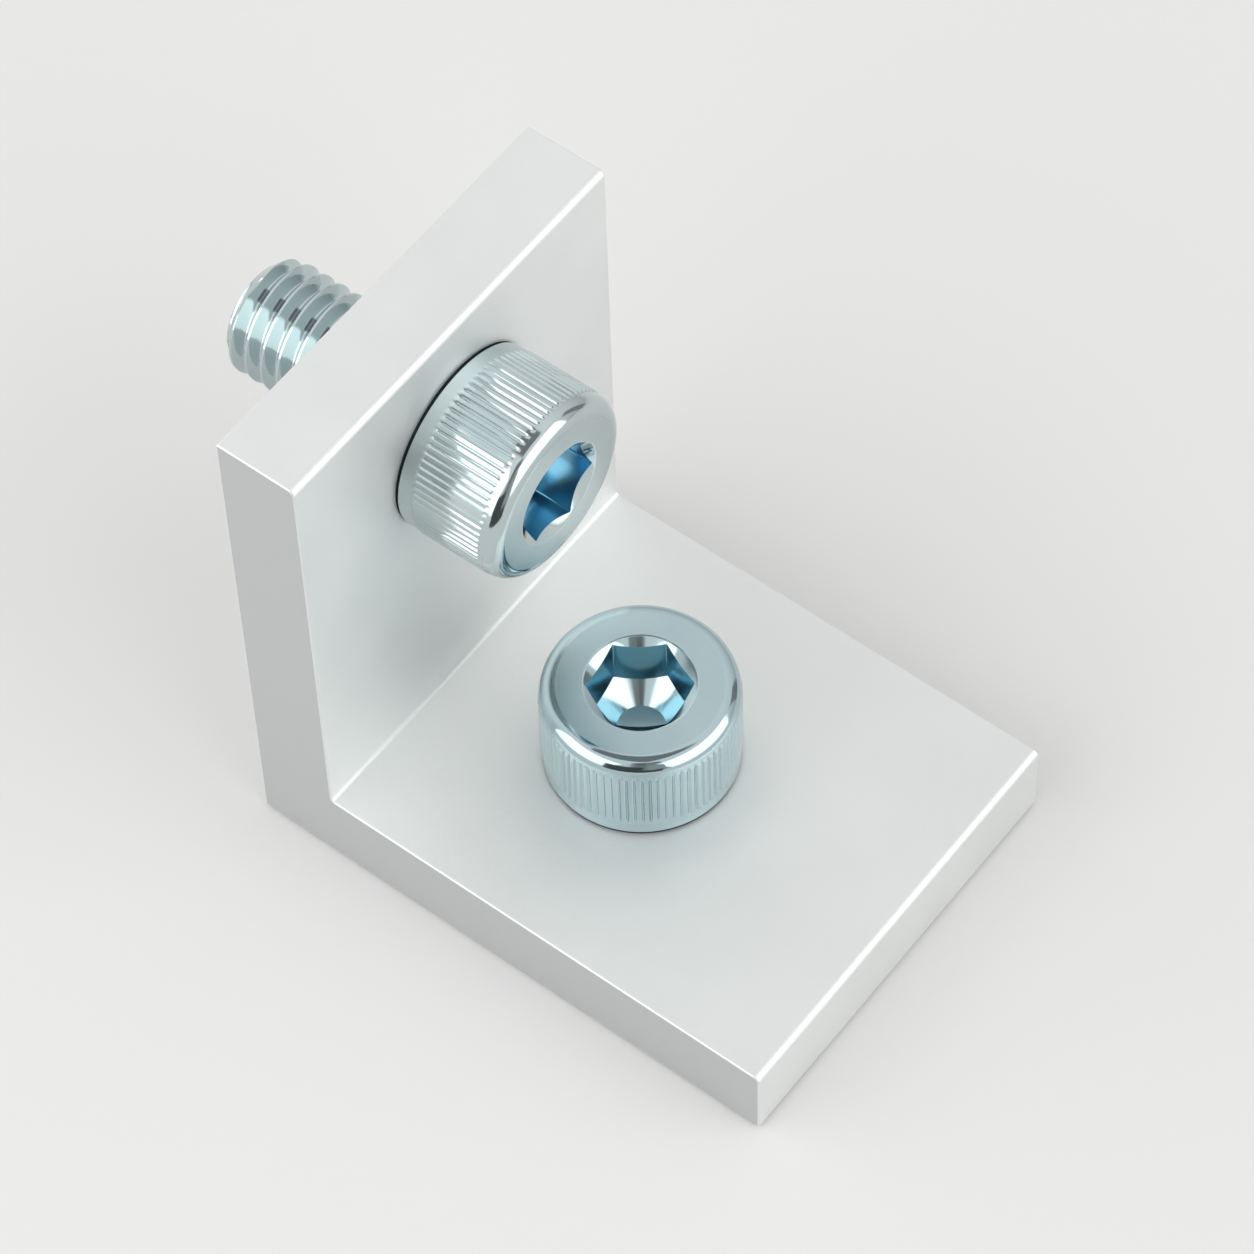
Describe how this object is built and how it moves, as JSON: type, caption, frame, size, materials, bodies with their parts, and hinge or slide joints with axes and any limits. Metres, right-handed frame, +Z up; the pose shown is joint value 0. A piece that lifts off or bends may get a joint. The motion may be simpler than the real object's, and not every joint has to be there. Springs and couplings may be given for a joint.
{
  "type": "l bracket",
  "caption": "Right-angle bracket cut from thick aluminium angle, with a socket head cap screw seated in each leg, for fixing slotted framing rails square to each other.",
  "frame": {"origin": "the heel: where the planes of the back face and the foot's underside meet, at the middle of the width", "axes": "+X along the foot towards its free end, +Y across the width, +Z up along the upright"},
  "size_m": [0.05, 0.03, 0.05],
  "materials": {
    "anodised_aluminium": "satin clear anodised, with bright deburred edges",
    "zinc_plated_steel": "bright zinc plate with a pale blue passivation"
  },
  "bodies": {
    "root": {"bracket": "anodised_aluminium", "cap_screws": "zinc_plated_steel"}
  },
  "joints": []
}
